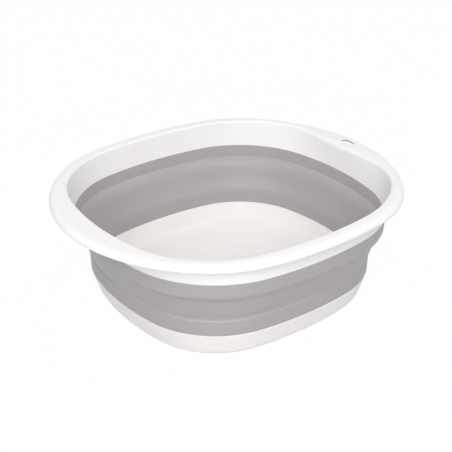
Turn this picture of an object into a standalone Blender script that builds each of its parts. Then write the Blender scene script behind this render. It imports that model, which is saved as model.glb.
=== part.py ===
"""Collapsible camp washbasin.

Three mouldings make it: a white rim with a curled lip that widens into a hand flange at each end,
a grey rubber band that folds between two hinge lines, and a white base tray on a foot ring.
The band is drawn as its two strips, one on the rim and one on the base, and the panel that turns
over between them when the basin is pushed flat.

Metres, +Z up. The origin is on the underside, in the middle of the overall width and length. The
flanges are on the -Y and +Y ends, and the one on +Y is a little narrower and has the hanging slot.
"""

import math

import bmesh
import bpy
from mathutils import Vector

# Plan of the wall, on its outer face at the line where the rim meets the band
WALL_HALF_WIDTH = 0.1578
WALL_HALF_LENGTH = 0.1662
WALL_FLANK_RADIUS = 0.4053
WALL_END_RADIUS = 0.2944
WALL_CORNER_RADIUS = 0.1160

# Plan of the lip's outermost edge, as its reach beyond the wall and its own arcs
FLANK_LIP_WIDTH = 0.0172
LIP_FLANK_RADIUS = 0.4367
SLOT_FLANGE_WIDTH = 0.0296
SLOT_FLANGE_RADIUS = 0.1875
SLOT_FLANGE_CORNER_RADIUS = 0.1303
PLAIN_FLANGE_WIDTH = 0.0344
PLAIN_FLANGE_RADIUS = 0.1814
PLAIN_FLANGE_CORNER_RADIUS = 0.1420

# Heights of the five bands of the section, from the floor up
BASE_WALL_HEIGHT = 0.0311
LOWER_STRIP_HEIGHT = 0.0192
FOLD_HEIGHT = 0.0347
UPPER_STRIP_HEIGHT = 0.0168
RIM_HEIGHT = 0.0302

# Rim moulding
RIM_WALL = 0.0024
RIM_LEAN = 0.0022
LIP_THICKNESS = 0.0020
LIP_CURL_HEIGHT = 0.0071
LIP_CURL_REACH = 0.0039
LIP_UNDERCUT = 0.0008
RIM_ROOT_RADIUS = 0.0022
RIM_INNER_DROP = 0.0010

# Soft roll from the lip into the basin: its size at the flanks, and what the wide flange adds to it
ROLL_REACH = 0.0020
ROLL_DEPTH = 0.0022
FLANGE_ROLL_EXTRA_REACH = 0.0096
FLANGE_ROLL_EXTRA_DEPTH = 0.0048

# Hanging slot in the +Y flange
SLOT_LENGTH = 0.0180
SLOT_WIDTH = 0.0074
SLOT_SETBACK = 0.0150

# Folding band
UPPER_STRIP_LEAN = 0.0006
UPPER_EDGE_RADIUS = 0.0012
UPPER_EDGE_UNDERCUT = 0.0005
UPPER_HINGE_INSET = 0.0024
UPPER_HINGE_INNER_RISE = 0.0016
FOLD_THICKNESS = 0.0024
FOLD_SAG = 0.0032
LOWER_HINGE_INSET = 0.0183
LOWER_HINGE_INNER_DROP = 0.0062
LOWER_STRIP_LEAN = 0.0003
LOWER_EDGE_RADIUS = 0.0009
LOWER_SHOULDER_RISE = 0.0009

# Base tray
BASE_INSET = 0.0158
BASE_WALL = 0.0032
BASE_DRAFT = 0.0090
BASE_EDGE_RADIUS = 0.0122
BASE_FILLET_HEIGHT = 0.0065
BASE_FILLET_REACH = 0.0240
BASE_INNER_DROP = 0.0035
FLOOR_THICKNESS = 0.0026
FOOT_RING_WIDTH = 0.0075
FOOT_RECESS = 0.0012

# Moulded joint between white plastic and grey rubber: a tongue in a groove
TONGUE_THICKNESS = 0.0010
TONGUE_DEPTH = 0.0075

# Gap kept between neighbouring solids, and how far a cutter runs past what it cuts
SEAT_GAP = 0.0003
CUT_OVERRUN = 0.0040

# How finely the flank, corner and end arcs of a quarter of the plan are divided, and the rounded edges
WALL_STEPS = (4, 11, 7)
LIP_STEPS = (4, 6, 12)
EDGE_STEPS = 3
ROLL_STEPS = 5
CURL_STEPS = 5
PANEL_STEPS = 4
SLOT_END_STEPS = 8

# Where the curl's outer face starts, in degrees round its section from the inward side
CURL_START_ANGLE = 230

# Levels, from the heights above
BASE_LINE = BASE_WALL_HEIGHT
LOWER_FOLD = BASE_LINE + LOWER_STRIP_HEIGHT
UPPER_FOLD = LOWER_FOLD + FOLD_HEIGHT
RIM_LINE = UPPER_FOLD + UPPER_STRIP_HEIGHT
TOP = RIM_LINE + RIM_HEIGHT
FLOOR_TOP = FOOT_RECESS + FLOOR_THICKNESS

# The wall's centre in Y, so that the origin is midway between the ends of the two flanges
WALL_CENTRE = (PLAIN_FLANGE_WIDTH - SLOT_FLANGE_WIDTH) / 2

# Largest value of share * (1 - share) ** 3, so that the fold panel sags by FOLD_SAG at most
SAG_PEAK = 27 / 256

WHITE = (0.90, 0.89, 0.88)
WHITE_ROUGHNESS = 0.38
GREY = (0.39, 0.37, 0.38)
GREY_ROUGHNESS = 0.52
SHARP_ANGLE = math.radians(35)


def clear_scene():
    for item in list(bpy.data.objects):
        bpy.data.objects.remove(item)


def make_material(name, colour, roughness):
    material = bpy.data.materials.new(name)
    material.use_nodes = True
    shader = material.node_tree.nodes["Principled BSDF"]
    shader.inputs["Base Color"].default_value = (*colour, 1.0)
    shader.inputs["Roughness"].default_value = roughness
    shader.inputs["Metallic"].default_value = 0.0
    return material


def quarter_arcs(half_width, half_length, flank_radius, end_radius, corner_radius, steps):
    """Three tangent arcs from the +X axis round to the +Y axis: centre, radius, two angles, steps."""
    flank = Vector((half_width - flank_radius, 0.0))
    end = Vector((0.0, half_length - end_radius))
    flank_reach = flank_radius - corner_radius
    end_reach = end_radius - corner_radius
    between = end - flank
    along = (flank_reach**2 - end_reach**2 + between.length_squared) / (2 * between.length)
    across = math.sqrt(max(flank_reach**2 - along**2, 0.0))
    forward = between.normalized()
    outward = Vector((-forward.y, forward.x))
    corner = flank + forward * along + outward * across
    first = math.atan2(corner.y - flank.y, corner.x - flank.x)
    last = math.atan2(corner.y - end.y, corner.x - end.x)
    return [
        (flank, flank_radius, 0.0, first, steps[0]),
        (corner, corner_radius, first, last, steps[1]),
        (end, end_radius, last, math.pi / 2, steps[2]),
    ]


WALL_ARCS = quarter_arcs(
    WALL_HALF_WIDTH,
    WALL_HALF_LENGTH,
    WALL_FLANK_RADIUS,
    WALL_END_RADIUS,
    WALL_CORNER_RADIUS,
    WALL_STEPS,
)
SLOT_END_ARCS = quarter_arcs(
    WALL_HALF_WIDTH + FLANK_LIP_WIDTH,
    WALL_HALF_LENGTH + SLOT_FLANGE_WIDTH,
    LIP_FLANK_RADIUS,
    SLOT_FLANGE_RADIUS,
    SLOT_FLANGE_CORNER_RADIUS,
    LIP_STEPS,
)
PLAIN_END_ARCS = quarter_arcs(
    WALL_HALF_WIDTH + FLANK_LIP_WIDTH,
    WALL_HALF_LENGTH + PLAIN_FLANGE_WIDTH,
    LIP_FLANK_RADIUS,
    PLAIN_FLANGE_RADIUS,
    PLAIN_FLANGE_CORNER_RADIUS,
    LIP_STEPS,
)


def quarter_points(arcs, inset):
    """Plan points from the +X axis to the +Y axis, both included, moved inward by inset."""
    points = []
    for centre, radius, first, last, steps in arcs:
        for step in range(steps):
            angle = first + (last - first) * step / steps
            reach = radius - inset
            points.append(centre + reach * Vector((math.cos(angle), math.sin(angle))))
    centre, radius, _, last, _ = arcs[-1]
    points.append(centre + (radius - inset) * Vector((math.cos(last), math.sin(last))))
    return points


def plan_loop(front_arcs, back_arcs, inset):
    """The closed outline as plan points in order; the +Y half and the -Y half have their own arcs."""
    front = quarter_points(front_arcs, inset)
    back = quarter_points(back_arcs, inset)
    loop = [(p.x, p.y) for p in front[:-1]]
    loop += [(-p.x, p.y) for p in front[:0:-1]]
    loop += [(-p.x, -p.y) for p in back[:-1]]
    loop += [(p.x, -p.y) for p in back[:0:-1]]
    return [(x, y + WALL_CENTRE) for x, y in loop]


def wall_ring(inset, height):
    return [Vector((x, y, height)) for x, y in plan_loop(WALL_ARCS, WALL_ARCS, inset)]


def lip_ring(inset, height):
    return [Vector((x, y, height)) for x, y in plan_loop(SLOT_END_ARCS, PLAIN_END_ARCS, inset)]


def roll_ring(inset, level, reach, depth, angle):
    """One ring of a quarter round from the wall at this inset out to a flat at this level.

    reach and depth are its size in the middle of the flanks, and both grow towards the flanges.
    The angle is 0 on the wall and a quarter turn on the flat."""
    ring = []
    for wall, beyond in zip(wall_ring(inset, level), wall_ring(inset - reach, level)):
        widening = 1 - (wall.x / WALL_HALF_WIDTH) ** 2
        stretch = 1 + widening * FLANGE_ROLL_EXTRA_REACH / reach
        point = wall.lerp(beyond, stretch * (1 - math.cos(angle)))
        point.z -= (depth + widening * FLANGE_ROLL_EXTRA_DEPTH) * (1 - math.sin(angle))
        ring.append(point)
    return ring


def turn(centre, radii, first, last, steps):
    """Points round an elliptical arc in the section, as (inset, height) pairs, angles in degrees."""
    points = []
    for step in range(steps + 1):
        angle = math.radians(first + (last - first) * step / steps)
        inset = centre[0] + radii[0] * math.cos(angle)
        height = centre[1] + radii[1] * math.sin(angle)
        points.append((inset, height))
    return points


def loft(name, rings, material, capped=False):
    """A closed body through the rings in order; capped closes the first and last, or else they meet."""
    mesh = bpy.data.meshes.new(name)
    shape = bmesh.new()
    layers = [[shape.verts.new(point) for point in ring] for ring in rings]
    pairs = list(zip(layers, layers[1:]))
    if not capped:
        pairs.append((layers[-1], layers[0]))
    for low, high in pairs:
        for index, vert in enumerate(low):
            after = (index + 1) % len(low)
            shape.faces.new((vert, low[after], high[after], high[index]))
    if capped:
        shape.faces.new(layers[0])
        shape.faces.new(layers[-1])
    bmesh.ops.recalc_face_normals(shape, faces=shape.faces)
    if shape.calc_volume(signed=True) < 0:
        bmesh.ops.reverse_faces(shape, faces=shape.faces)
    shape.to_mesh(mesh)
    shape.free()
    mesh.shade_smooth()
    mesh.set_sharp_from_angle(angle=SHARP_ANGLE)
    mesh.materials.append(material)
    part = bpy.data.objects.new(name, mesh)
    bpy.context.collection.objects.link(part)
    return part


def section_rings(points):
    return [wall_ring(inset, height) for inset, height in points]


def tongue_faces(outer, wall):
    """Insets of the two faces of the tongue in the middle of a wall that starts at outer."""
    middle = outer + wall / 2
    return middle - TONGUE_THICKNESS / 2, middle + TONGUE_THICKNESS / 2


def rim_frame(material):
    """Wall, curled lip and end flanges of the rim, with the tongue that the upper strip grips."""
    tongue_out, tongue_in = tongue_faces(0.0, RIM_WALL)
    under = TOP - LIP_THICKNESS
    rings = section_rings(
        [
            (tongue_in, RIM_LINE - TONGUE_DEPTH),
            (tongue_out, RIM_LINE - TONGUE_DEPTH),
            (tongue_out, RIM_LINE),
            (0.0, RIM_LINE),
        ]
    )
    for step in range(ROLL_STEPS + 1):
        angle = math.pi / 2 * step / ROLL_STEPS
        rings.append(roll_ring(-RIM_LEAN, under, RIM_ROOT_RADIUS, RIM_ROOT_RADIUS, angle))
    rings += lip_underside(under)
    rings += lip_outside()
    rings += lip_roll()
    rings.append(wall_ring(RIM_WALL, RIM_LINE - RIM_INNER_DROP))
    rings.append(wall_ring(tongue_in, RIM_LINE - RIM_INNER_DROP))
    rim = loft("rim_frame", rings, material)
    cut_slot(rim)
    return rim


def lip_underside(under):
    """From the underside's outer corner down the inner face of the curl to its lower edge."""
    curl_bottom = TOP - LIP_CURL_HEIGHT
    inner = LIP_THICKNESS
    corner = (inner + LIP_CURL_REACH - LIP_THICKNESS, under)
    points = [
        corner,
        (inner, under - (LIP_CURL_REACH - LIP_THICKNESS)),
        (inner, curl_bottom + LIP_THICKNESS),
        (inner + LIP_UNDERCUT, curl_bottom + LIP_UNDERCUT),
    ]
    return [lip_ring(inset, height) for inset, height in points]


def lip_outside():
    """Round the lower edge of the curl and up its outer face to the flat top."""
    curl_bottom = TOP - LIP_CURL_HEIGHT
    middle = TOP - LIP_CURL_HEIGHT / 2
    radii = (LIP_CURL_REACH, LIP_CURL_HEIGHT / 2)
    points = [(LIP_UNDERCUT + LIP_THICKNESS / 2, curl_bottom)]
    points += turn((LIP_CURL_REACH, middle), radii, CURL_START_ANGLE, 90, CURL_STEPS)
    return [lip_ring(inset, height) for inset, height in points]


def lip_roll():
    """From the flat top down the soft roll that leads into the basin."""
    rings = []
    for step in range(ROLL_STEPS + 1):
        angle = math.pi / 2 * (1 - step / ROLL_STEPS)
        rings.append(roll_ring(RIM_WALL - RIM_LEAN, TOP, ROLL_REACH, ROLL_DEPTH, angle))
    return rings


def cut_slot(rim):
    """Cuts the round-ended hanging slot down through the +Y flange."""
    centre = WALL_CENTRE + WALL_HALF_LENGTH + SLOT_FLANGE_WIDTH - SLOT_SETBACK
    straight = SLOT_LENGTH / 2 - SLOT_WIDTH / 2
    loop = []
    for side, first in ((1, -90), (-1, 90)):
        for step in range(SLOT_END_STEPS + 1):
            angle = math.radians(first + 180 * step / SLOT_END_STEPS)
            x = side * straight + SLOT_WIDTH / 2 * math.cos(angle)
            y = centre + SLOT_WIDTH / 2 * math.sin(angle)
            loop.append((x, y))
    low = TOP - LIP_THICKNESS - CUT_OVERRUN
    high = TOP + CUT_OVERRUN
    rings = [[Vector((x, y, height)) for x, y in loop] for height in (low, high)]
    cutter = loft("slot_cutter", rings, None, capped=True)
    cutter.hide_render = True
    cutter.display_type = "WIRE"
    cut = rim.modifiers.new("hanging_slot", "BOOLEAN")
    cut.operation = "DIFFERENCE"
    cut.solver = "EXACT"
    cut.object = cutter


def groove_points(outer, wall, line, inner_line, direction):
    """The groove that takes a tongue, from the outer lip of the rubber to its inner lip.

    direction is -1 where the tongue comes down from above and 1 where it stands up from below."""
    tongue_out, tongue_in = tongue_faces(outer, wall)
    bottom = line + direction * (TONGUE_DEPTH + SEAT_GAP)
    return [
        (outer, line + direction * SEAT_GAP),
        (tongue_out - SEAT_GAP, line + direction * SEAT_GAP),
        (tongue_out - SEAT_GAP, bottom),
        (tongue_in + SEAT_GAP, bottom),
        (tongue_in + SEAT_GAP, inner_line + direction * SEAT_GAP),
        (outer + wall, inner_line + direction * SEAT_GAP),
    ]


def upper_strip(material):
    """The band's upper strip: runs down from the rim to a rounded edge above the upper hinge line."""
    half = FOLD_THICKNESS / 2
    low = UPPER_FOLD + SEAT_GAP / 2
    points = groove_points(0.0, RIM_WALL, RIM_LINE, RIM_LINE - RIM_INNER_DROP, -1)
    points.append((UPPER_HINGE_INSET + half, low + UPPER_HINGE_INNER_RISE))
    points.append((UPPER_HINGE_INSET - half, low))
    middle = low + UPPER_EDGE_UNDERCUT + UPPER_EDGE_RADIUS
    edge = (UPPER_STRIP_LEAN + UPPER_EDGE_RADIUS, middle)
    points += turn(edge, (UPPER_EDGE_RADIUS, UPPER_EDGE_RADIUS), 270, 180, EDGE_STEPS)
    return loft("upper_band_strip", section_rings(points), material)


def panel_middle(share):
    """Inset of the middle of the fold panel, share of the way down from the upper hinge line."""
    straight = UPPER_HINGE_INSET + (LOWER_HINGE_INSET - UPPER_HINGE_INSET) * share
    return straight + FOLD_SAG * share * (1 - share) ** 3 / SAG_PEAK


def fold_panel(material):
    """The panel that turns over: from the upper hinge line in and down to the lower one."""
    half = FOLD_THICKNESS / 2
    high = UPPER_FOLD - SEAT_GAP / 2
    low = LOWER_FOLD + SEAT_GAP / 2
    inner_high = high + UPPER_HINGE_INNER_RISE
    outer = []
    inner = []
    for step in range(PANEL_STEPS + 1):
        share = step / PANEL_STEPS
        outer.append((panel_middle(share) - half, high + (low - high) * share))
        inner.append((panel_middle(share) + half, inner_high + (low - inner_high) * share))
    return loft("fold_panel", section_rings(outer + inner[::-1]), material)


def lower_strip(material):
    """The band's lower strip: stands on the base wall, with a shoulder below the lower hinge line."""
    half = FOLD_THICKNESS / 2
    high = LOWER_FOLD - SEAT_GAP / 2
    shoulder = high - LOWER_SHOULDER_RISE
    ridge = high - LOWER_HINGE_INNER_DROP
    slope = (LOWER_HINGE_INSET - UPPER_HINGE_INSET) / FOLD_HEIGHT
    points = groove_points(BASE_INSET, BASE_WALL, BASE_LINE, BASE_LINE - BASE_INNER_DROP, 1)[::-1]
    edge = (BASE_INSET - LOWER_STRIP_LEAN + LOWER_EDGE_RADIUS, shoulder - LOWER_EDGE_RADIUS)
    points += turn(edge, (LOWER_EDGE_RADIUS, LOWER_EDGE_RADIUS), 180, 90, EDGE_STEPS)
    points.append((LOWER_HINGE_INSET - half, high))
    points.append((LOWER_HINGE_INSET + half, high))
    points.append((LOWER_HINGE_INSET + half + slope * LOWER_HINGE_INNER_DROP, ridge))
    return loft("lower_band_strip", section_rings(points), material)


def base_tray(material):
    """Floor, foot ring and tapered wall of the base, with the tongue that the lower strip grips."""
    slope = BASE_DRAFT / BASE_LINE
    tilt = math.atan(slope)
    tongue_out, tongue_in = tongue_faces(BASE_INSET, BASE_WALL)

    def face(height, depth):
        return BASE_INSET + slope * (BASE_LINE - height) + depth

    edge = (face(BASE_EDGE_RADIUS, BASE_EDGE_RADIUS / math.cos(tilt)), BASE_EDGE_RADIUS)
    fillet_height = FLOOR_TOP + BASE_FILLET_HEIGHT
    fillet = (face(fillet_height, BASE_WALL + BASE_FILLET_REACH), fillet_height)
    foot_inner = edge[0] + FOOT_RING_WIDTH
    points = [(foot_inner + FOOT_RECESS, FOOT_RECESS), (foot_inner, 0.0)]
    radii = (BASE_EDGE_RADIUS, BASE_EDGE_RADIUS)
    points += turn(edge, radii, 270, 180 + math.degrees(tilt), EDGE_STEPS + 1)
    points += [
        (BASE_INSET, BASE_LINE),
        (tongue_out, BASE_LINE),
        (tongue_out, BASE_LINE + TONGUE_DEPTH),
        (tongue_in, BASE_LINE + TONGUE_DEPTH),
        (tongue_in, BASE_LINE - BASE_INNER_DROP),
        (BASE_INSET + BASE_WALL, BASE_LINE - BASE_INNER_DROP),
    ]
    points += turn(fillet, (BASE_FILLET_REACH, BASE_FILLET_HEIGHT), 180, 270, EDGE_STEPS + 1)
    return loft("base_tray", section_rings(points), material, capped=True)


def build():
    clear_scene()
    white = make_material("white_plastic", WHITE, WHITE_ROUGHNESS)
    grey = make_material("grey_rubber", GREY, GREY_ROUGHNESS)
    rim_frame(white)
    upper_strip(grey)
    fold_panel(grey)
    lower_strip(grey)
    base_tray(white)


build()
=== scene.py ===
import math

import bmesh
import bpy
import numpy as np
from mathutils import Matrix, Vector


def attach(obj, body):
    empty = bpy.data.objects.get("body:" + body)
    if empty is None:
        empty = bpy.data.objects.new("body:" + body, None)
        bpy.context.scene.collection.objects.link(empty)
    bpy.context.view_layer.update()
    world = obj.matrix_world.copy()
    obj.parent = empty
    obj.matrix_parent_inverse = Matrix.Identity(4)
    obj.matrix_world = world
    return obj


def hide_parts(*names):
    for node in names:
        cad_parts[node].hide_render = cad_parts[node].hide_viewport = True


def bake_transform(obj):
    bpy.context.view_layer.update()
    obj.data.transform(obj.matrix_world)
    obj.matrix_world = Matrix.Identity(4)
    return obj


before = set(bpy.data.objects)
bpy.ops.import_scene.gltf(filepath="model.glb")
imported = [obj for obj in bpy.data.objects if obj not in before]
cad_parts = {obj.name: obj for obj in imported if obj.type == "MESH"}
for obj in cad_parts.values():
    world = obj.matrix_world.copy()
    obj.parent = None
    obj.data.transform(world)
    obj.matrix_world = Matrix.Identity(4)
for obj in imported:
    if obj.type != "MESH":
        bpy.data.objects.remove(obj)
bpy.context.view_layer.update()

# Sizes are in metres and angles in degrees. An inset runs inward from the wall's outline, and on
# the lip from the lip's own outline.

# Plan of the wall and of the lip, with the radii of each quarter's flank, end and corner
WALL_HALF_WIDTH = 0.1578
WALL_HALF_LENGTH = 0.1662
WALL_RADII = (0.4053, 0.2944, 0.1160)
FLANK_LIP_WIDTH = 0.0172
SLOT_FLANGE_WIDTH = 0.0296
SLOT_END_RADII = (0.4367, 0.1875, 0.1303)
PLAIN_FLANGE_WIDTH = 0.0344
PLAIN_END_RADII = (0.4367, 0.1814, 0.1420)
LIP_HALF_WIDTH = WALL_HALF_WIDTH + FLANK_LIP_WIDTH
SLOT_END_HALF = WALL_HALF_LENGTH + SLOT_FLANGE_WIDTH
PLAIN_END_HALF = WALL_HALF_LENGTH + PLAIN_FLANGE_WIDTH
WALL_CENTRE = (PLAIN_FLANGE_WIDTH - SLOT_FLANGE_WIDTH) / 2

# Heights of the seams, of the two fold lines and of the flat top
BASE_LINE = 0.0311
LOWER_FOLD = 0.0503
UPPER_FOLD = 0.0850
RIM_LINE = 0.1018
TOP = 0.1320

# The rim's wall and its curled lip
RIM_WALL = 0.0024
RIM_LEAN = 0.0022
RIM_INNER_DROP = 0.0010
RIM_INNER_LINE = RIM_LINE - RIM_INNER_DROP
RIM_ROOT_RADIUS = 0.0022
LIP_THICKNESS = 0.0020
LIP_UNDERSIDE = TOP - LIP_THICKNESS
LIP_CURL_HEIGHT = 0.0071
LIP_CURL_REACH = 0.0039
LIP_UNDERCUT = 0.0008
LIP_CROWN_REACH = 0.0090
LIP_CROWN_HEIGHT = 0.0053
CURL_START_ANGLE = 230
CROWN_START_ANGLE = 170
# Points round the curl's free edge, inward and upward, as shares of the undercut
CURL_EDGE_SHARES = ((0.7, 1.3), (0.9, 0.7), (0.6, 0.2))

# The roll from the wall into the flat top. The wall's top flares outward at both ends, and at the
# middle of the slot end it stands further in and has a larger roll.
ROLL_REACH = 0.0024
ROLL_DEPTH = 0.0026
PLAIN_END_FLARE = 0.0042
SLOT_END_FLARE = 0.0065
SLOT_MIDDLE_ROLL_EXTRA = 0.0030
SLOT_MIDDLE_SET_IN = 0.0015

# The hanging slot, and how far the body that cuts it runs past the flange
SLOT_LENGTH = 0.0180
SLOT_WIDTH = 0.0074
SLOT_SETBACK = 0.0150
SLOT_CENTRE = WALL_CENTRE + WALL_HALF_LENGTH + SLOT_FLANGE_WIDTH - SLOT_SETBACK
SLOT_STRAIGHT = SLOT_LENGTH / 2 - SLOT_WIDTH / 2
SLOT_EDGE_RADIUS = 0.0003
SLOT_LOWER_ANGLES = (65, 45, 25, 0)
SLOT_UPPER_ANGLES = (0, 20, 40, 60, 75)
CUTTER_OVERRUN = 0.0020
CUTTER_RISE = 0.0006
CUTTER_FOOT_SHARE = 0.9

# The folding band
FOLD_THICKNESS = 0.0024
UPPER_STRIP_LEAN = 0.0006
UPPER_EDGE_RADIUS = 0.0012
UPPER_EDGE_UNDERCUT = 0.0005
UPPER_EDGE_END_ANGLE = 236
UPPER_HINGE_INSET = 0.0024
UPPER_HINGE_INNER_RISE = 0.0016
FOLD_SAG = 0.0032
LOWER_HINGE_INSET = 0.0183
LOWER_HINGE_INNER_DROP = 0.0062
LOWER_STRIP_LEAN = 0.0003
LOWER_EDGE_RADIUS = 0.0013
LOWER_EDGE_START_ANGLE = 158
LOWER_SHOULDER_RISE = 0.0009
LOWER_CREASE_FILL = 0.0006

# The base
BASE_INSET = 0.0158
BASE_WALL = 0.0032
BASE_DRAFT = 0.0090
BASE_SLOPE = BASE_DRAFT / BASE_LINE
BASE_EDGE_RADIUS = 0.0122
BASE_FILLET_HEIGHT = 0.0065
BASE_FILLET_REACH = 0.0240
BASE_INNER_DROP = 0.0035
BASE_INNER_LINE = BASE_LINE - BASE_INNER_DROP
FLOOR_TOP = 0.0038
FLOOR_REACHES = (0.0020, 0.0080, 0.0500)
FOOT_RING_WIDTH = 0.0075
FOOT_EDGE_RADIUS = 0.0006
FOOT_RECESS = 0.0012
RECESS_REACHES = (0.0500, 0.0060)

# The tongues and grooves that join the band to both white parts
TONGUE_THICKNESS = 0.0010
TONGUE_DEPTH = 0.0040
SEAT_GAP = 0.00008
SEAM_RADIUS = 0.00025

# How finely round stretches are drawn
WALL_STEPS = (12, 30, 18)
LIP_STEPS = (12, 17, 31)
SEAM_STEPS = 3
EDGE_STEPS = 2
SLOT_END_STEPS = 16
CURL_INNER_STEPS = 5
CURL_OUTER_STEPS = 7
CROWN_STEPS = 14
STRIP_STEPS = 6
UPPER_EDGE_STEPS = 6
LOWER_EDGE_STEPS = 4
CREASE_STEPS = 7
PANEL_OUTER_STEPS = 18
PANEL_INNER_STEPS = 20
FOOT_STEPS = 3
BASE_EDGE_STEPS = 14
BASE_OUTER_STEPS = 5
BASE_INNER_STEPS = 4
FILLET_STEPS = 16
ROLL_ANGLES = np.linspace(0.0, math.pi / 2, 11)
SHARP_ANGLE = math.radians(40)

# Where further rings lie between two rings
OUTER_WALL_SHARES = np.arange(1, 8) / 8
UNDERSIDE_SHARES = (0.3, 0.6, 0.9)
LIP_TOP_SHARES = (0.06, 0.2, 0.4, 0.6, 0.8, 0.94)
INNER_WALL_SHARES = (0.1, 0.25, 0.4, 0.55, 0.7, 0.85)


# Plan outlines


def quarter_arcs(half_width, half_length, radii, steps):
    """Three tangent arcs from the +X axis round to the +Y axis."""
    flank_radius, end_radius, corner_radius = radii
    flank = Vector((half_width - flank_radius, 0.0))
    end = Vector((0.0, half_length - end_radius))
    flank_reach = flank_radius - corner_radius
    end_reach = end_radius - corner_radius
    between = end - flank
    along = (flank_reach**2 - end_reach**2 + between.length_squared) / (2 * between.length)
    across = math.sqrt(max(flank_reach**2 - along**2, 0.0))
    forward = between.normalized()
    corner = flank + forward * along + Vector((-forward.y, forward.x)) * across
    first = math.atan2(corner.y - flank.y, corner.x - flank.x)
    last = math.atan2(corner.y - end.y, corner.x - end.x)
    return [
        (flank, flank_radius, 0.0, first, steps[0]),
        (corner, corner_radius, first, last, steps[1]),
        (end, end_radius, last, math.pi / 2, steps[2]),
    ]


WALL_ARCS = quarter_arcs(WALL_HALF_WIDTH, WALL_HALF_LENGTH, WALL_RADII, WALL_STEPS)
SLOT_ARCS = quarter_arcs(LIP_HALF_WIDTH, SLOT_END_HALF, SLOT_END_RADII, LIP_STEPS)
PLAIN_ARCS = quarter_arcs(LIP_HALF_WIDTH, PLAIN_END_HALF, PLAIN_END_RADII, LIP_STEPS)


def quarter_points(arcs, inset):
    """Points along the arcs of a quarter, all moved inward by the inset."""
    parts = []
    for centre, radius, first, last, steps in arcs:
        angles = first + (last - first) * np.arange(steps) / steps
        reach = radius - inset
        parts.append(np.stack([centre.x + reach * np.cos(angles), centre.y + reach * np.sin(angles)], 1))
    centre, radius, _, last, _ = arcs[-1]
    reach = radius - inset
    parts.append(np.array([[centre.x + reach * math.cos(last), centre.y + reach * math.sin(last)]]))
    return np.concatenate(parts)


def ring(front_arcs, back_arcs, inset, height):
    """A closed loop of points at one height, from one quarter for the +Y end and one for the -Y end."""
    front = quarter_points(front_arcs, inset)
    back = quarter_points(back_arcs, inset)
    plan = np.concatenate(
        [front[:-1], front[:0:-1] * (-1, 1), back[:-1] * (-1, -1), back[:0:-1] * (1, -1)]
    )
    return np.column_stack([plan[:, 0], plan[:, 1] + WALL_CENTRE, np.full(len(plan), height)])


def wall_ring(inset, height):
    return ring(WALL_ARCS, WALL_ARCS, inset, height)


def lip_ring(inset, height):
    return ring(SLOT_ARCS, PLAIN_ARCS, inset, height)


def wall_rings(section):
    return [wall_ring(inset, height) for inset, height in section]


def lip_rings(section):
    return [lip_ring(inset, height) for inset, height in section]


def rings_between(first, last, shares):
    return [first * (1 - share) + last * share for share in shares]


# Sections, as lists of (inset, height) points


def turn(centre, radii, first, last, steps):
    """Points round an elliptical arc, both ends included."""
    angles = np.radians(first + (last - first) * np.arange(steps + 1) / steps)
    return list(zip(centre[0] + radii[0] * np.cos(angles), centre[1] + radii[1] * np.sin(angles)))


def arc(centre, radius, first, last, steps):
    return turn(centre, (radius, radius), first, last, steps)


def seam_round(inset, height, first, last):
    """The small round on an edge beside a seam."""
    return arc((inset, height), SEAM_RADIUS, first, last, SEAM_STEPS)


def run(first, last, steps):
    """Points evenly spaced between two points, both ends left out."""
    return [
        (first[0] + (last[0] - first[0]) * k / steps, first[1] + (last[1] - first[1]) * k / steps)
        for k in range(1, steps)
    ]


def bend(first, corner, last, steps):
    """Points of a soft bend between two points, drawn towards a corner, both ends left out."""
    shares = np.arange(1, steps) / steps
    return [
        tuple((1 - s) ** 2 * a + 2 * s * (1 - s) * c + s**2 * b for a, c, b in zip(first, corner, last))
        for s in shares
    ]


# Meshes


def loop_faces(low, high, count):
    """Faces between two loops of as many points, given the place of each loop in the list."""
    faces = []
    for k in range(count):
        after = (k + 1) % count
        faces.append((low * count + k, low * count + after, high * count + after, high * count + k))
    return faces


def add_object(name, data):
    added = bpy.data.objects.new(name, data)
    bpy.context.collection.objects.link(added)
    return added


def make_piece(name, rings, material, capped=False):
    """A closed body through the rings in order, each a closed loop of as many points."""
    count = len(rings[0])
    points = np.concatenate(rings)
    faces = []
    for place in range(len(rings) - 1):
        faces += loop_faces(place, place + 1, count)
    if capped:
        for first in (0, (len(rings) - 1) * count):
            middle = len(points)
            points = np.concatenate([points, points[first:first + count].mean(0)[None]])
            faces += [(first + k, first + (k + 1) % count, middle) for k in range(count)]
    else:
        faces += loop_faces(len(rings) - 1, 0, count)
    mesh = bpy.data.meshes.new(name)
    mesh.from_pydata(points.tolist(), [], faces)
    turn_faces_outward(mesh)
    smooth(mesh)
    if material:
        mesh.materials.append(material)
    piece = add_object(name, mesh)
    return piece


def turn_faces_outward(mesh):
    shape = bmesh.new()
    shape.from_mesh(mesh)
    bmesh.ops.recalc_face_normals(shape, faces=shape.faces)
    if shape.calc_volume(signed=True) < 0:
        bmesh.ops.reverse_faces(shape, faces=shape.faces)
    shape.to_mesh(mesh)
    shape.free()


def smooth(mesh):
    mesh.shade_smooth()
    mesh.set_sharp_from_angle(angle=SHARP_ANGLE)


def keep_rest(piece):
    """Stores each point's place at rest, so that the grain stays on the rubber when it folds."""
    mesh = piece.data
    places = np.zeros(len(mesh.vertices) * 3, np.float32)
    mesh.vertices.foreach_get("co", places)
    mesh.attributes.new("rest_place", "FLOAT_VECTOR", "POINT").data.foreach_set("vector", places)


def tongue_faces(outer, wall):
    """Insets of the two faces of a tongue in the middle of a wall."""
    middle = outer + wall / 2
    return middle - TONGUE_THICKNESS / 2, middle + TONGUE_THICKNESS / 2


# The rim


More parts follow.
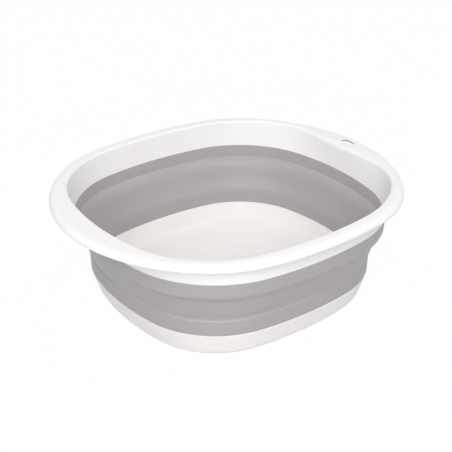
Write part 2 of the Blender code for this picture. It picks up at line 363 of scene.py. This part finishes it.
def roll_rings(inset, level, reach, depth, angles):
    """Rings of a quarter round between the top of the wall and a flat at this level.

    The wall's top flares outward at both ends, but stands further in at the middle of the slot end,
    where the round grows."""
    wall = wall_ring(inset, level)
    outward = (wall_ring(inset - reach, level) - wall) / reach
    across = wall[:, :1] / WALL_HALF_WIDTH
    at_slot_end = wall[:, 1:2] > WALL_CENTRE
    slot_middle = (1 - across**2) ** 2
    plain_end = PLAIN_END_FLARE * (1 - across**4)
    slot_end = SLOT_END_FLARE * np.sin(math.pi * across) ** 2 - SLOT_MIDDLE_SET_IN * slot_middle
    wall = wall + outward * np.where(at_slot_end, slot_end, plain_end)
    extra = np.where(at_slot_end, SLOT_MIDDLE_ROLL_EXTRA * slot_middle, 0.0)
    reach = reach + extra
    depth = depth + extra
    up = np.array([0.0, 0.0, 1.0])
    return [wall + outward * reach * (1 - math.cos(a)) - up * depth * (1 - math.sin(a)) for a in angles]


def rim_outside():
    """Rings from the tongue at the rim's foot up its outer face to the flat under the lip."""
    tongue_out, tongue_in = tongue_faces(0.0, RIM_WALL)
    tongue_end = RIM_LINE - TONGUE_DEPTH
    section = [(tongue_in, tongue_end), (tongue_out, tongue_end), (tongue_out, RIM_LINE)]
    section += seam_round(SEAM_RADIUS, RIM_LINE + SEAM_RADIUS, 270, 180)
    rings = wall_rings(section)
    root = roll_rings(-RIM_LEAN, LIP_UNDERSIDE, RIM_ROOT_RADIUS, RIM_ROOT_RADIUS, ROLL_ANGLES)
    return rings + rings_between(rings[-1], root[0], OUTER_WALL_SHARES) + root


def lip_section():
    """The lip's curl, from its hollow side round its free edge and up to the flat top."""
    curl_bottom = TOP - LIP_CURL_HEIGHT
    curl_bend = LIP_CURL_REACH - LIP_THICKNESS
    section = arc((LIP_CURL_REACH, LIP_UNDERSIDE - curl_bend), curl_bend, 90, 180, CURL_INNER_STEPS)
    section.append((LIP_THICKNESS, curl_bottom + LIP_THICKNESS))
    for inset_share, height_share in CURL_EDGE_SHARES:
        inset = LIP_THICKNESS + LIP_UNDERCUT * inset_share
        section.append((inset, curl_bottom + LIP_UNDERCUT * height_share))
    section.append((LIP_UNDERCUT + LIP_THICKNESS / 2, curl_bottom))
    widest = TOP - LIP_CROWN_HEIGHT
    curl = (LIP_CURL_REACH, widest - curl_bottom)
    section += turn((LIP_CURL_REACH, widest), curl, CURL_START_ANGLE, 180, CURL_OUTER_STEPS)
    crown = (LIP_CROWN_REACH, LIP_CROWN_HEIGHT)
    return section + turn((LIP_CROWN_REACH, widest), crown, CROWN_START_ANGLE, 90, CROWN_STEPS)


def rim_inside(lip_edge):
    """Rings from the flat top over the roll and down the inner face to the tongue."""
    roll = roll_rings(RIM_WALL - RIM_LEAN, TOP, ROLL_REACH, ROLL_DEPTH, ROLL_ANGLES[::-1])
    foot = wall_ring(RIM_WALL, RIM_INNER_LINE + SEAM_RADIUS)
    section = seam_round(RIM_WALL - SEAM_RADIUS, RIM_INNER_LINE + SEAM_RADIUS, 0, -90)
    section.append((tongue_faces(0.0, RIM_WALL)[1], RIM_INNER_LINE))
    rings = rings_between(lip_edge, roll[0], LIP_TOP_SHARES) + roll
    return rings + rings_between(roll[-1], foot, INNER_WALL_SHARES) + wall_rings(section)


def build_rim(material):
    rings = rim_outside()
    rings += rings_between(rings[-1], lip_ring(LIP_CURL_REACH, LIP_UNDERSIDE), UNDERSIDE_SHARES)
    rings += lip_rings(lip_section())
    rings += rim_inside(rings[-1])
    rim = make_piece("rim_shell", rings, material)
    cut_slot(rim)
    return rim


def slot_loop(grow, height):
    """The slot's outline at one height, larger by this much all round."""
    radius = SLOT_WIDTH / 2 + grow
    loop = []
    for side, first in ((1, -90), (-1, 90)):
        for step in range(SLOT_END_STEPS + 1):
            angle = math.radians(first + 180 * step / SLOT_END_STEPS)
            x = side * SLOT_STRAIGHT + radius * math.cos(angle)
            loop.append((x, SLOT_CENTRE + radius * math.sin(angle), height))
    return np.array(loop)


def slot_edge(angle):
    """How far the slot's rounded edge lies outward of its wall and behind the skin, at an angle."""
    turned = math.radians(angle)
    return SLOT_EDGE_RADIUS * (1 - math.cos(turned)), SLOT_EDGE_RADIUS * (1 - math.sin(turned))


def slot_cutter():
    """The body that cuts the slot, from under the flange up through its top."""
    foot = SLOT_EDGE_RADIUS * CUTTER_FOOT_SHARE + CUTTER_OVERRUN
    loops = [slot_loop(foot, LIP_UNDERSIDE - CUTTER_OVERRUN)]
    for angle in SLOT_LOWER_ANGLES:
        grow, behind = slot_edge(angle)
        loops.append(slot_loop(grow, LIP_UNDERSIDE + behind))
    for angle in SLOT_UPPER_ANGLES:
        grow, behind = slot_edge(angle)
        loops.append(slot_loop(grow, TOP - behind))
    loops.append(slot_loop(grow + CUTTER_OVERRUN, TOP + CUTTER_RISE))
    return make_piece("slot_cutter", loops, None, capped=True)


def cut_slot(rim):
    """Cuts the hanging slot with a small round on its upper and lower edges."""
    cutter = slot_cutter()
    cut = rim.modifiers.new("slot", "BOOLEAN")
    cut.operation = "DIFFERENCE"
    cut.solver = "EXACT"
    cut.object = cutter
    bpy.context.view_layer.update()
    finished = bpy.data.meshes.new_from_object(rim.evaluated_get(bpy.context.evaluated_depsgraph_get()))
    rim.modifiers.clear()
    finished.name = "rim_shell"
    rim.data = finished
    bpy.data.objects.remove(cutter)
    smooth(finished)
    level = rim.modifiers.new("even_normals", "WEIGHTED_NORMAL")
    level.mode = "FACE_AREA"
    level.keep_sharp = True


# The folding band


def panel_middle(share):
    """Inset of the panel's middle at a share of the way from the upper to the lower hinge."""
    straight = UPPER_HINGE_INSET + (LOWER_HINGE_INSET - UPPER_HINGE_INSET) * share
    sag_share = share * (1 - share) ** 3
    largest_sag_share = 27 / 256
    return straight + FOLD_SAG * sag_share / largest_sag_share


def band_outside():
    """Section of the band's outer face from the rim seam down to the base seam."""
    half = FOLD_THICKNESS / 2
    top = RIM_LINE - SEAT_GAP
    points = seam_round(SEAM_RADIUS, top - SEAM_RADIUS, 90, 180)
    edge_middle = UPPER_FOLD + UPPER_EDGE_UNDERCUT + UPPER_EDGE_RADIUS
    points += run(points[-1], (UPPER_STRIP_LEAN, edge_middle), STRIP_STEPS)
    edge = (UPPER_STRIP_LEAN + UPPER_EDGE_RADIUS, edge_middle)
    points += arc(edge, UPPER_EDGE_RADIUS, 180, UPPER_EDGE_END_ANGLE, UPPER_EDGE_STEPS)
    for step in range(PANEL_OUTER_STEPS):
        share = step / PANEL_OUTER_STEPS
        points.append((panel_middle(share) - half, UPPER_FOLD + (LOWER_FOLD - UPPER_FOLD) * share))
    shoulder = LOWER_FOLD - LOWER_SHOULDER_RISE
    edge = (BASE_INSET - LOWER_STRIP_LEAN + LOWER_EDGE_RADIUS, shoulder - LOWER_EDGE_RADIUS)
    strip_top = arc(edge, LOWER_EDGE_RADIUS, LOWER_EDGE_START_ANGLE, 180, LOWER_EDGE_STEPS)
    crease = (LOWER_HINGE_INSET - half - LOWER_CREASE_FILL, shoulder)
    points += bend(points[-1], crease, strip_top[0], CREASE_STEPS)
    points += strip_top
    low = BASE_LINE + SEAT_GAP
    points += run(points[-1], (BASE_INSET, low + SEAM_RADIUS), STRIP_STEPS)
    return points + seam_round(BASE_INSET + SEAM_RADIUS, low + SEAM_RADIUS, 180, 270)


def band_inside():
    """Section of the band's inner face from the base seam up to the rim seam."""
    half = FOLD_THICKNESS / 2
    slope = (LOWER_HINGE_INSET - UPPER_HINGE_INSET) / (UPPER_FOLD - LOWER_FOLD)
    low = BASE_INNER_LINE + SEAT_GAP
    points = seam_round(BASE_INSET + BASE_WALL - SEAM_RADIUS, low + SEAM_RADIUS, 270, 360)
    ridge_inset = LOWER_HINGE_INSET + half + slope * LOWER_HINGE_INNER_DROP
    ridge = (ridge_inset, LOWER_FOLD - LOWER_HINGE_INNER_DROP)
    points += run(points[-1], ridge, STRIP_STEPS)
    points.append(ridge)
    inner_high = UPPER_FOLD + UPPER_HINGE_INNER_RISE
    for step in range(PANEL_INNER_STEPS + 1):
        share = 1 - step / PANEL_INNER_STEPS
        points.append((panel_middle(share) + half, inner_high + (LOWER_FOLD - inner_high) * share))
    top = RIM_INNER_LINE - SEAT_GAP
    points += run(points[-1], (RIM_WALL, top - SEAM_RADIUS), STRIP_STEPS)
    return points + seam_round(RIM_WALL - SEAM_RADIUS, top - SEAM_RADIUS, 0, 90)


def build_band(material):
    base_out, base_in = tongue_faces(BASE_INSET, BASE_WALL)
    rim_out, rim_in = tongue_faces(0.0, RIM_WALL)
    groove_top = BASE_LINE + TONGUE_DEPTH + SEAT_GAP
    groove_bottom = RIM_LINE - TONGUE_DEPTH - SEAT_GAP
    points = band_outside()
    points += [
        (base_out - SEAT_GAP, BASE_LINE + SEAT_GAP),
        (base_out - SEAT_GAP, groove_top),
        (base_in + SEAT_GAP, groove_top),
        (base_in + SEAT_GAP, BASE_INNER_LINE + SEAT_GAP),
    ]
    points += band_inside()
    points += [
        (rim_in + SEAT_GAP, RIM_INNER_LINE - SEAT_GAP),
        (rim_in + SEAT_GAP, groove_bottom),
        (rim_out - SEAT_GAP, groove_bottom),
        (rim_out - SEAT_GAP, RIM_LINE - SEAT_GAP),
    ]
    return make_piece("folding_band", wall_rings(points), material)


# The base


def base_face(height, depth):
    """Inset of a face that lies this deep behind the base's tapered outer face."""
    return BASE_INSET + BASE_SLOPE * (BASE_LINE - height) + depth


def base_outside():
    """Section from the middle of the recess over the foot ring and up the outer face to the seam."""
    tilt = math.atan(BASE_SLOPE)
    edge = (base_face(BASE_EDGE_RADIUS, BASE_EDGE_RADIUS / math.cos(tilt)), BASE_EDGE_RADIUS)
    foot_inner = edge[0] + FOOT_RING_WIDTH
    recess = foot_inner + FOOT_RECESS
    foot_flat = foot_inner - FOOT_EDGE_RADIUS
    points = [(recess + reach, FOOT_RECESS) for reach in RECESS_REACHES]
    recess_edge = (recess + FOOT_EDGE_RADIUS, FOOT_RECESS - FOOT_EDGE_RADIUS)
    points += arc(recess_edge, FOOT_EDGE_RADIUS, 90, 135, EDGE_STEPS)
    points += arc((foot_flat, FOOT_EDGE_RADIUS), FOOT_EDGE_RADIUS, 315, 270, EDGE_STEPS)
    points += run((foot_flat, 0.0), (edge[0], 0.0), FOOT_STEPS)
    points += arc(edge, BASE_EDGE_RADIUS, 270, 180 + math.degrees(tilt), BASE_EDGE_STEPS)
    points += run(points[-1], (BASE_INSET, BASE_LINE - SEAM_RADIUS), BASE_OUTER_STEPS)
    return points + seam_round(BASE_INSET + SEAM_RADIUS, BASE_LINE - SEAM_RADIUS, 180, 90)


def base_inside():
    """Section from the inner seam down the inner face and round the fillet onto the floor."""
    points = seam_round(BASE_INSET + BASE_WALL - SEAM_RADIUS, BASE_INNER_LINE - SEAM_RADIUS, 90, 0)
    fillet_height = FLOOR_TOP + BASE_FILLET_HEIGHT
    fillet_inset = base_face(fillet_height, BASE_WALL + BASE_FILLET_REACH)
    points += run(points[-1], (fillet_inset - BASE_FILLET_REACH, fillet_height), BASE_INNER_STEPS)
    fillet_radii = (BASE_FILLET_REACH, BASE_FILLET_HEIGHT)
    points += turn((fillet_inset, fillet_height), fillet_radii, 180, 270, FILLET_STEPS)
    return points + [(fillet_inset + reach, FLOOR_TOP) for reach in FLOOR_REACHES]


def build_base(material):
    tongue_out, tongue_in = tongue_faces(BASE_INSET, BASE_WALL)
    points = base_outside()
    points += [
        (tongue_out, BASE_LINE),
        (tongue_out, BASE_LINE + TONGUE_DEPTH),
        (tongue_in, BASE_LINE + TONGUE_DEPTH),
        (tongue_in, BASE_INNER_LINE),
    ]
    points += base_inside()
    return make_piece("base_shell", wall_rings(points), material, capped=True)


# Materials. Tones in pairs are a lighter and a darker colour that clouds mix, and the scale of a
# noise is about the number of its lumps in a metre.
RIM_WHITE_TONES = ((0.94, 0.93, 0.922), (0.925, 0.915, 0.908))
BASE_WHITE_TONES = ((0.944, 0.919, 0.908), (0.929, 0.904, 0.893))
BAND_GREY_TONES = ((0.415, 0.394, 0.400), (0.398, 0.377, 0.383))
# Painted shade: a darker colour given to the slot's wall where shade falls inside the slot
SLOT_WALL_PAINTED_SHADE = (0.42, 0.41, 0.41)
SLOT_WALL_MARGIN = 0.0001
SLOT_WALL_START_SHARE = 0.5
NOISE_RANGE = (0.3, 0.7)

PLASTIC_CLOUDS = {"scale": 26.0, "detail": 3.0}
PLASTIC_PATCHES = {"scale": 90.0, "detail": 4.0, "rough": 0.6}
PLASTIC_PEEL = {"scale": 420.0, "detail": 2.0}
PLASTIC_PEEL_STRENGTH = 0.10
PLASTIC_PEEL_HEIGHT = 0.0003
PLASTIC_GRAIN = {"scale": 2600.0, "detail": 3.0, "rough": 0.7}
PLASTIC_GRAIN_STRENGTH = 0.12
PLASTIC_GRAIN_HEIGHT = 0.0001
PLASTIC_ROUGHNESS = (0.36, 0.46)
PLASTIC_SETTINGS = {
    "IOR": 1.49,
    "Specular IOR Level": 0.36,
    "Subsurface Weight": 0.12,
    "Subsurface Radius": (1.0, 0.9, 0.8),
    "Subsurface Scale": 0.003,
}

RUBBER_CLOUDS = {"scale": 20.0, "detail": 4.0, "rough": 0.6}
RUBBER_PATCHES = {"scale": 120.0, "detail": 4.0, "rough": 0.6}
RUBBER_GRAIN = {"scale": 1900.0, "detail": 4.0, "rough": 0.75}
RUBBER_GRAIN_STRENGTH = 0.25
RUBBER_GRAIN_HEIGHT = 0.00012
RUBBER_ROUGHNESS = (0.46, 0.56)
RUBBER_SETTINGS = {
    "IOR": 1.5,
    "Specular IOR Level": 0.55,
    "Sheen Weight": 0.08,
    "Sheen Roughness": 0.5,
}

# Places of the sockets on a colour mix node
MIX_FACTOR = 0
MIX_FIRST = 6
MIX_SECOND = 7
MIX_RESULT = 2


class Nodes:
    """Short way to add and wire the nodes of a material or of the world."""

    def __init__(self, owner):
        self.owner = owner
        self.owner.use_nodes = True
        self.tree = self.owner.node_tree
        self.shader = self.tree.nodes.get("Principled BSDF")

    def add(self, kind, **settings):
        node = self.tree.nodes.new(kind)
        for key, value in settings.items():
            setattr(node, key, value)
        return node

    def wire(self, source, target):
        self.tree.links.new(source, target)

    def set_shader(self, settings):
        for name, value in settings.items():
            self.shader.inputs[name].default_value = value

    def noise(self, place, scale, detail, rough=0.5):
        node = self.add("ShaderNodeTexNoise")
        node.inputs["Scale"].default_value = scale
        node.inputs["Detail"].default_value = detail
        node.inputs["Roughness"].default_value = rough
        self.wire(place, node.inputs["Vector"])
        return node.outputs["Fac"]

    def spread(self, noise, low, high):
        """Spreads the middle of a noise's range over the range from low to high."""
        node = self.add("ShaderNodeMapRange")
        node.inputs["From Min"].default_value = NOISE_RANGE[0]
        node.inputs["From Max"].default_value = NOISE_RANGE[1]
        node.inputs["To Min"].default_value = low
        node.inputs["To Max"].default_value = high
        self.wire(noise, node.inputs["Value"])
        return node.outputs["Result"]

    def mix(self, factor, first, second):
        """Mixes two colours, each a tuple or a socket."""
        node = self.add("ShaderNodeMix", data_type="RGBA")
        self.wire(factor, node.inputs[MIX_FACTOR])
        for value, socket in ((first, node.inputs[MIX_FIRST]), (second, node.inputs[MIX_SECOND])):
            if isinstance(value, tuple):
                socket.default_value = (*value, 1.0)
            else:
                self.wire(value, socket)
        return node.outputs[MIX_RESULT]

    def mix_shaders(self, factor, first, second):
        node = self.add("ShaderNodeMixShader")
        for source, socket in zip((factor, first, second), node.inputs):
            self.wire(source, socket)
        return node.outputs["Shader"]

    def bump(self, height, strength, distance, normal=None):
        node = self.add("ShaderNodeBump")
        node.inputs["Strength"].default_value = strength
        node.inputs["Distance"].default_value = distance
        self.wire(height, node.inputs["Height"])
        if normal:
            self.wire(normal, node.inputs["Normal"])
        return node.outputs["Normal"]

    def rest_place(self):
        return self.add("ShaderNodeAttribute", attribute_name="rest_place").outputs["Vector"]

    def math(self, operation, *values):
        node = self.add("ShaderNodeMath", operation=operation)
        for value, socket in zip(values, node.inputs):
            if isinstance(value, float):
                socket.default_value = value
            else:
                self.wire(value, socket)
        return node.outputs["Value"]

    def seen_directly(self):
        """1 for rays that show the surface itself or its mirror image, else 0."""
        path = self.add("ShaderNodeLightPath")
        seen = path.outputs["Is Camera Ray"]
        for name in ("Is Glossy Ray", "Is Transmission Ray"):
            seen = self.math("MAXIMUM", seen, path.outputs[name])
        return seen


def white_plastic(name, light, shade):
    """Satin polypropylene: faint flow clouds in its tone, an orange-peel skin and uneven sheen."""
    nodes = Nodes(bpy.data.materials.new(name))
    inputs = nodes.shader.inputs
    place = nodes.rest_place()
    clouds = nodes.spread(nodes.noise(place, **PLASTIC_CLOUDS), 0.0, 1.0)
    nodes.wire(nodes.mix(clouds, shade, light), inputs["Base Color"])
    patches = nodes.noise(place, **PLASTIC_PATCHES)
    nodes.wire(nodes.spread(patches, *PLASTIC_ROUGHNESS), inputs["Roughness"])
    peel = nodes.bump(nodes.noise(place, **PLASTIC_PEEL), PLASTIC_PEEL_STRENGTH, PLASTIC_PEEL_HEIGHT)
    grain = nodes.noise(place, **PLASTIC_GRAIN)
    nodes.wire(nodes.bump(grain, PLASTIC_GRAIN_STRENGTH, PLASTIC_GRAIN_HEIGHT, peel), inputs["Normal"])
    nodes.set_shader(PLASTIC_SETTINGS)
    return nodes.owner


def paint_shade_on_slot_wall(material):
    """Paints shade onto the wall of the hanging slot: its colour is darkened there to stand in for the
    shade inside the slot.
    """
    nodes = Nodes(material)
    split = nodes.add("ShaderNodeSeparateXYZ")
    nodes.wire(nodes.rest_place(), split.inputs["Vector"])
    x, y, z = split.outputs
    past_straight = nodes.math("SUBTRACT", nodes.math("ABSOLUTE", x), SLOT_STRAIGHT)
    beside = nodes.math("MAXIMUM", past_straight, 0.0)
    along = nodes.math("SUBTRACT", y, SLOT_CENTRE)
    squares = [nodes.math("MULTIPLY", side, side) for side in (beside, along)]
    away = nodes.math("SQRT", nodes.math("ADD", *squares))
    in_slot = nodes.math("LESS_THAN", away, SLOT_WIDTH / 2 + SLOT_WALL_MARGIN)
    below_skin = nodes.math("LESS_THAN", z, TOP - SLOT_EDGE_RADIUS * SLOT_WALL_START_SHARE)
    tone = nodes.shader.inputs["Base Color"]
    skin = tone.links[0].from_socket
    # Painted shade: the colour is swapped for a darker one on the slot's wall below the skin
    nodes.wire(nodes.mix(nodes.math("MULTIPLY", in_slot, below_skin), skin, SLOT_WALL_PAINTED_SHADE), tone)


def grey_rubber(name, light, shade):
    """Soft moulded rubber: an even matt spark grain, a faint bloom and slight tone clouds."""
    nodes = Nodes(bpy.data.materials.new(name))
    inputs = nodes.shader.inputs
    place = nodes.rest_place()
    clouds = nodes.spread(nodes.noise(place, **RUBBER_CLOUDS), 0.0, 1.0)
    nodes.wire(nodes.mix(clouds, shade, light), inputs["Base Color"])
    patches = nodes.noise(place, **RUBBER_PATCHES)
    nodes.wire(nodes.spread(patches, *RUBBER_ROUGHNESS), inputs["Roughness"])
    grain = nodes.noise(place, **RUBBER_GRAIN)
    nodes.wire(nodes.bump(grain, RUBBER_GRAIN_STRENGTH, RUBBER_GRAIN_HEIGHT), inputs["Normal"])
    nodes.set_shader(RUBBER_SETTINGS)
    return nodes.owner


# Camera
CAMERA_AZIMUTH = math.radians(53.07)
CAMERA_ELEVATION = math.radians(29.10)
CAMERA_DISTANCE = 1.1049
CAMERA_AIM = Vector((0.0, 0.0024, 0.05336))
IMAGE_SIZE = 452
FOCAL_PIXELS = 956.79
PRINCIPAL_X = 228.80
PRINCIPAL_Y = 242.09
SENSOR_MILLIMETRES = 36.0
NEAREST_SEEN = 0.01


def aim_from(thing, azimuth, elevation, distance):
    """Sets a camera or a lamp in a direction from the basin and turns it towards the basin."""
    back = Vector(
        (
            math.sin(azimuth) * math.cos(elevation),
            -math.cos(azimuth) * math.cos(elevation),
            math.sin(elevation),
        )
    )
    thing.location = CAMERA_AIM + back * distance
    thing.rotation_euler = (-back).to_track_quat("-Z", "Y").to_euler()


def build_camera():
    data = bpy.data.cameras.new("camera")
    data.sensor_width = SENSOR_MILLIMETRES
    data.lens = FOCAL_PIXELS / IMAGE_SIZE * SENSOR_MILLIMETRES
    data.shift_x = (IMAGE_SIZE / 2 - PRINCIPAL_X) / IMAGE_SIZE
    data.shift_y = (PRINCIPAL_Y - IMAGE_SIZE / 2) / IMAGE_SIZE
    data.clip_start = NEAREST_SEEN
    camera = add_object("camera", data)
    aim_from(camera, CAMERA_AZIMUTH, CAMERA_ELEVATION, CAMERA_DISTANCE)
    bpy.context.scene.camera = camera


# Lamps: name, degrees to the right of the camera, degrees up, distance, size, watts
LAMPS = [
    ("key", -15, 30, 2.2, 1.0, 9.2),
    ("high_key", 10, 40, 2.2, 1.0, 11.1),
    ("back_left", -120, 65, 2.2, 1.0, 8.9),
    ("back_right", 120, 65, 2.2, 1.0, 9.2),
    ("wide_left", -60, 35, 2.6, 3.0, 8.3),
    ("wide_front", 0, 20, 2.6, 3.0, 30.5),
    ("wide_right", 60, 35, 2.6, 3.0, 11.5),
    ("low_back_left", -130, 30, 2.6, 3.0, 8.3),
    ("low_back_right", 130, 30, 2.6, 3.0, 9.5),
]

# Surroundings and floor
PURE_WHITE = (1.0, 1.0, 1.0, 1.0)
WORLD_STRENGTH = 0.02
BACKDROP_STRENGTH = 1.0
FLOOR_HALF = 4.0
FLOOR_TONE = 0.66
FLOOR_ROUGHNESS = 0.9
FLOOR_SPECULAR = 0.1
FLOOR_GLOW = 0.99
FLOOR_GLOW_STRENGTH = 1.0


def build_lamps():
    for name, side, up, distance, size, power in LAMPS:
        data = bpy.data.lights.new(name, "AREA")
        data.shape = "DISK"
        data.size = size
        data.energy = power
        lamp = add_object(name, data)
        aim_from(lamp, CAMERA_AZIMUTH + math.radians(side), math.radians(up), distance)


def build_world():
    """Faint light from all round, and a white backdrop where the surroundings themselves are seen."""
    world = bpy.data.worlds.new("studio")
    bpy.context.scene.world = world
    nodes = Nodes(world)
    light = nodes.tree.nodes["Background"]
    backdrop = nodes.add("ShaderNodeBackground")
    for node, strength in ((light, WORLD_STRENGTH), (backdrop, BACKDROP_STRENGTH)):
        node.inputs["Color"].default_value = PURE_WHITE
        node.inputs["Strength"].default_value = strength
    surface = nodes.mix_shaders(nodes.seen_directly(), light.outputs[0], backdrop.outputs[0])
    nodes.wire(surface, nodes.tree.nodes["World Output"].inputs["Surface"])


def build_floor():
    """A plain floor that is nearly as white as the backdrop and still keeps the basin's shadow."""
    half = FLOOR_HALF
    mesh = bpy.data.meshes.new("floor")
    corners = [(-half, -half, 0.0), (half, -half, 0.0), (half, half, 0.0), (-half, half, 0.0)]
    mesh.from_pydata(corners, [], [(0, 1, 2, 3)])
    floor = add_object("floor", mesh)
    nodes = Nodes(bpy.data.materials.new("pale_floor"))
    nodes.set_shader({
        "Base Color": (FLOOR_TONE, FLOOR_TONE, FLOOR_TONE, 1.0),
        "Roughness": FLOOR_ROUGHNESS,
        "Specular IOR Level": FLOOR_SPECULAR,
    })
    glow = nodes.add("ShaderNodeEmission")
    glow.inputs["Color"].default_value = PURE_WHITE
    glow.inputs["Strength"].default_value = FLOOR_GLOW_STRENGTH
    share = nodes.math("MULTIPLY", nodes.seen_directly(), FLOOR_GLOW)
    surface = nodes.mix_shaders(share, nodes.shader.outputs[0], glow.outputs[0])
    nodes.wire(surface, nodes.tree.nodes["Material Output"].inputs["Surface"])
    mesh.materials.append(nodes.owner)


build_camera()
build_world()
build_lamps()
build_floor()

rim_white = white_plastic("rim_white", *RIM_WHITE_TONES)
base_white = white_plastic("base_white", *BASE_WHITE_TONES)
band_grey = grey_rubber("band_grey", *BAND_GREY_TONES)

# Paints shade onto the wall of the hanging slot
paint_shade_on_slot_wall(rim_white)

rim = build_rim(rim_white)
band = build_band(band_grey)
base = build_base(base_white)
for piece in (rim, band, base):
    keep_rest(piece)

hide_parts("rim_frame")
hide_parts("upper_band_strip", "fold_panel", "lower_band_strip")
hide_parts("base_tray")
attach(rim, "rim")
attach(base, "base")
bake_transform(band)

bpy.context.scene.view_settings.view_transform = "Standard"
